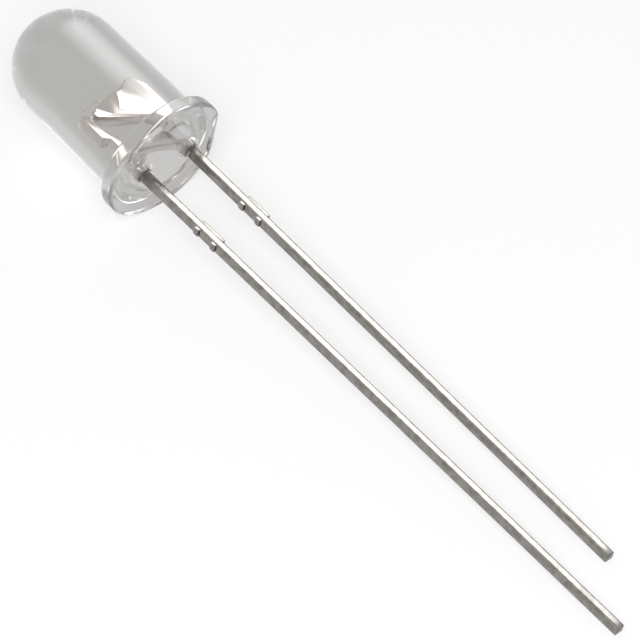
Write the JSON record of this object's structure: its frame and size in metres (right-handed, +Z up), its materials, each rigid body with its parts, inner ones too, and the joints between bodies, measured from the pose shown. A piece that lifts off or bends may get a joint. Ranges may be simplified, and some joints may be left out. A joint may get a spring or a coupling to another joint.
{
  "type": "through hole led",
  "caption": "Clear round through-hole LED: a domed epoxy lens with a flanged, flat-marked base over a stamped lead frame with tinned leads; it lights when current flows.",
  "frame": {"origin": "midway between the centre lines of the leads, in the plane of the flange's seat", "axes": "+X runs along the table from the seat towards the tips of the leads, +Z is up, +Y runs from the anode lead to the cathode lead; the LED lies as it comes to rest, on the rim of its flange and the tips of both leads"},
  "size_m": [0.0369, 0.0059, 0.0061],
  "materials": {
    "clear_epoxy": "cast, clear and glossy",
    "tinned_leads": "iron with a dull bright tin plating",
    "led_die": "sawn semiconductor, dark and glossy",
    "silver_glue": "cured silver-filled glue",
    "gold_wire": "drawn gold wire"
  },
  "bodies": {
    "root": {"epoxy_lens": "clear_epoxy", "cathode_lead": "tinned_leads", "anode_lead": "tinned_leads", "die": "led_die", "die_attach": "silver_glue", "bond_wire": "gold_wire"}
  },
  "joints": []
}
